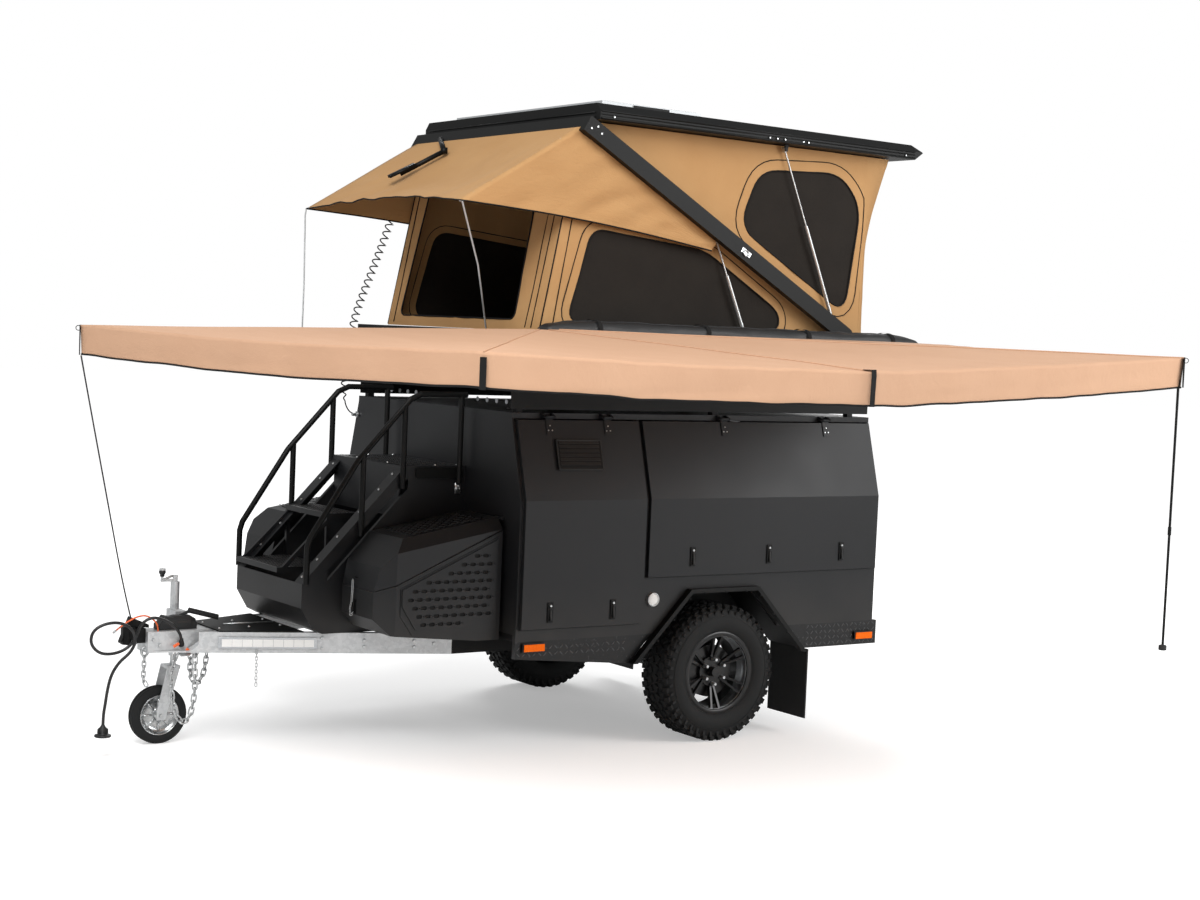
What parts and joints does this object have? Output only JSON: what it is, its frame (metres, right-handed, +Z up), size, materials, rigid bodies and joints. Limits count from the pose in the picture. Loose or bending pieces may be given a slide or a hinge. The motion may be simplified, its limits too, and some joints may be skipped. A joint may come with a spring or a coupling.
{
  "type": "off-road camping trailer with roof-top tent and side awning",
  "caption": "Compact off-road camping trailer with a hard-shell roof-top tent, front stair, drawbar tool boxes and a fan-shaped side awning, parked on its jockey wheel.",
  "frame": {"origin": "on the ground, under the middle of the bounding box of everything but the free cords", "axes": "+X towards the tail, the drawbar points to -X; +Y to the far side, away from the awning; +Z up"},
  "size_m": [4.9022, 4.51, 3.5539],
  "materials": {
    "alloy": "brushed",
    "awning_canvas": "matte",
    "bag": "satin",
    "black_plastic": "matte",
    "body_paint": "satin",
    "frame_paint": "satin",
    "galvanised": "brushed",
    "lamp": "gloss",
    "mesh": "matte",
    "orange_cable": "matte",
    "rim_paint": "satin",
    "rubber": "matte",
    "solar": "gloss",
    "steel": "brushed",
    "tent_canvas": "matte",
    "tread_plate": "gloss",
    "tyre": "matte"
  },
  "bodies": {
    "chassis": {"chassis_frame": "galvanised", "trailing_arms": "frame_paint", "air_springs": "rubber", "drawbar": "galvanised", "drawbar_deck": "frame_paint", "coupling_head": "frame_paint", "handbrake": "frame_paint", "jockey_post": "galvanised", "cabin_floor": "frame_paint", "wheel_boxes": "frame_paint", "side_wall_near": "body_paint", "side_wall_far": "body_paint", "front_wall": "body_paint", "rear_wall": "body_paint", "roof_panel": "body_paint", "bulkhead": "body_paint", "arch_flares": "black_plastic", "mud_flaps": "rubber", "tread_skirts": "tread_plate", "lamps": "lamp", "tool_boxes": "body_paint", "front_stair": "body_paint", "handrails": "frame_paint", "roof_rack": "frame_paint", "tent_base": "frame_paint", "tent_cloth": "tent_canvas", "tent_mesh": "mesh", "fly_sheet": "tent_canvas", "fly_rods": "steel", "awning_bag": "bag", "awning_arms": "alloy", "awning_cloth": "awning_canvas", "trailer_lead": "rubber", "breakaway_cable": "orange_cable", "curly_cord": "rubber", "lead_plug": "black_plastic"},
    "wheel_near": {"tyre_near": "tyre", "rim_near": "rim_paint"},
    "wheel_far": {"tyre_far": "tyre", "rim_far": "rim_paint"},
    "jockey_swivel": {"jockey_fork": "galvanised"},
    "jockey_wheel": {"jockey_wheel": "rubber"},
    "front_door_near": {"front_door_near": "body_paint"},
    "front_door_far": {"front_door_far": "body_paint"},
    "rear_hatch_near": {"rear_hatch_near": "body_paint"},
    "rear_hatch_far": {"rear_hatch_far": "body_paint"},
    "tail_door": {"tail_door": "body_paint"},
    "box_lid_near": {"box_lid_near": "body_paint"},
    "box_lid_far": {"box_lid_far": "body_paint"},
    "tent_frame": {"tent_frame": "frame_paint"},
    "tent_shell": {"tent_shell": "frame_paint", "solar_panel": "solar"},
    "upper_strut_tubes": {"upper_strut_tubes": "frame_paint"},
    "upper_strut_rods": {"upper_strut_rods": "steel"},
    "lower_strut_tubes": {"lower_strut_tubes": "frame_paint"},
    "lower_strut_rods": {"lower_strut_rods": "steel"}
  },
  "joints": [
    {"name": "wheel_near_spin", "type": "hinge", "parent": "chassis", "child": "wheel_near", "pos_m": [1.0489, 0.333, 0.39], "axis": [0, 1, 0], "continuous": true},
    {"name": "wheel_far_spin", "type": "hinge", "parent": "chassis", "child": "wheel_far", "pos_m": [1.0489, 2.097, 0.39], "axis": [0, 1, 0], "continuous": true},
    {"name": "jockey_swivel_turn", "type": "hinge", "parent": "chassis", "child": "jockey_swivel", "pos_m": [-1.7621, 1.38, 0.42], "axis": [0, 0, 1], "continuous": true},
    {"name": "jockey_wheel_spin", "type": "hinge", "parent": "jockey_swivel", "child": "jockey_wheel", "pos_m": [-1.8401, 1.38, 0.155], "axis": [0, 1, 0], "continuous": true},
    {"name": "front_door_near_hinge", "type": "hinge", "parent": "chassis", "child": "front_door_near", "pos_m": [1.0489, 0.30589, 1.832], "axis": [-1, 0, 0], "range_deg": [0, 80]},
    {"name": "front_door_far_hinge", "type": "hinge", "parent": "chassis", "child": "front_door_far", "pos_m": [1.0489, 2.12411, 1.832], "axis": [1, 0, 0], "range_deg": [0, 80]},
    {"name": "rear_hatch_near_hinge", "type": "hinge", "parent": "chassis", "child": "rear_hatch_near", "pos_m": [1.0489, 0.30589, 1.832], "axis": [-1, 0, 0], "range_deg": [0, 80]},
    {"name": "rear_hatch_far_hinge", "type": "hinge", "parent": "chassis", "child": "rear_hatch_far", "pos_m": [1.0489, 2.12411, 1.832], "axis": [1, 0, 0], "range_deg": [0, 80]},
    {"name": "tail_door_hinge", "type": "hinge", "parent": "chassis", "child": "tail_door", "pos_m": [2.2309, 1.215, 1.76], "axis": [0, -1, 0], "range_deg": [0, 80]},
    {"name": "box_lid_near_hinge", "type": "hinge", "parent": "chassis", "child": "box_lid_near", "pos_m": [-0.3471, 0.55, 1.282], "axis": [0, 1, 0], "range_deg": [0, 60]},
    {"name": "box_lid_far_hinge", "type": "hinge", "parent": "chassis", "child": "box_lid_far", "pos_m": [-0.3471, 1.88, 1.282], "axis": [0, 1, 0], "range_deg": [0, 60]},
    {"name": "tent_frame_fold", "type": "hinge", "parent": "chassis", "child": "tent_frame", "pos_m": [1.9209, 1.215, 2.335], "axis": [0, -1, 0], "range_deg": [0, 29.4], "deforming": ["tent_cloth", "tent_mesh", "fly_sheet"]},
    {"name": "tent_shell_hinge", "type": "hinge", "parent": "tent_frame", "child": "tent_shell", "pos_m": [0.08873, 1.215, 3.43051], "axis": [0, 1, 0], "range_deg": [0, 28.7]},
    {"name": "upper_strut_swing", "type": "hinge", "parent": "tent_frame", "child": "upper_strut_tubes", "pos_m": [1.88686, 1.215, 2.37197], "axis": [0, -1, 0], "range_deg": [0, 35.89]},
    {"name": "upper_strut_stroke", "type": "slide", "parent": "upper_strut_tubes", "child": "upper_strut_rods", "axis": [0.4012, 0, -0.916], "range_m": [0, 0.37644]},
    {"name": "lower_strut_swing", "type": "hinge", "parent": "chassis", "child": "lower_strut_tubes", "pos_m": [1.2139, 1.215, 2.306], "axis": [0, -1, 0], "range_deg": [0, 61.11]},
    {"name": "lower_strut_stroke", "type": "slide", "parent": "lower_strut_tubes", "child": "lower_strut_rods", "axis": [0.4071, 0, -0.9134], "range_m": [0, 0.22868]}
  ],
  "couplings": [
    {"joint": "tent_shell_hinge", "follows": "tent_frame_fold", "ratio": 0.97619},
    {"joint": "upper_strut_swing", "follows": "tent_frame_fold", "ratio": 1.2209},
    {"joint": "upper_strut_stroke", "follows": "tent_frame_fold", "m_per_rad": 0.73362},
    {"joint": "lower_strut_swing", "follows": "tent_frame_fold", "ratio": 2.0786},
    {"joint": "lower_strut_stroke", "follows": "tent_frame_fold", "m_per_rad": 0.44565}
  ]
}
